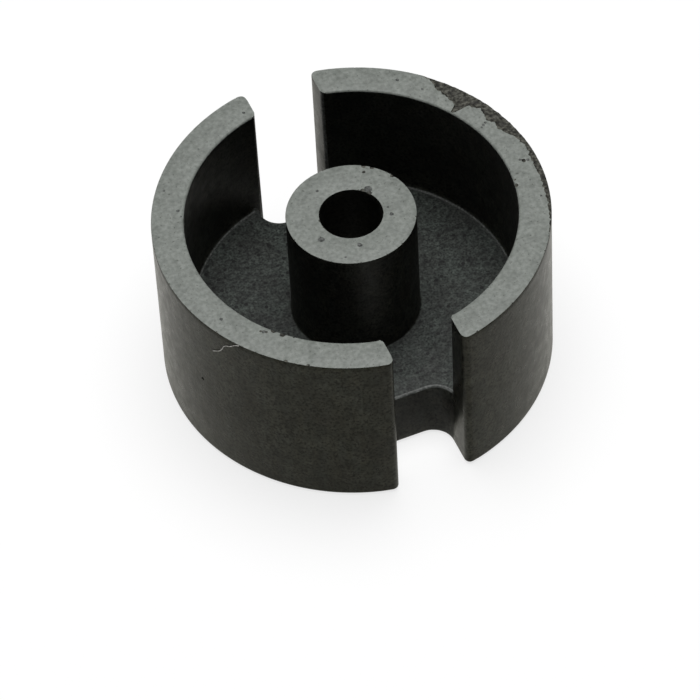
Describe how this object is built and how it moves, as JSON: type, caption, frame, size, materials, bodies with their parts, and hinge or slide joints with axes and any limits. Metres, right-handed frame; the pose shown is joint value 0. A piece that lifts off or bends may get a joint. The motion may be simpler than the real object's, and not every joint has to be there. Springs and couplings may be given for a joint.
{
  "type": "ferrite pot core half",
  "caption": "Round cup-shaped half of a ferrite pot core, with a hollow centre post, slots through the wall opposite each other for the coil's leads, and notches in the base.",
  "frame": {"origin": "middle of the flat base, on the axis of the centre post", "axes": "+Z along the post towards the open ground face, Y through the two cable slots, X across them"},
  "size_m": [0.0072, 0.007, 0.0036],
  "materials": {
    "ferrite": "sintered dark grey ferrite, matt as fired, with the rim and the post's end ground"
  },
  "bodies": {
    "root": {"half_pot_core": "ferrite"}
  },
  "joints": []
}
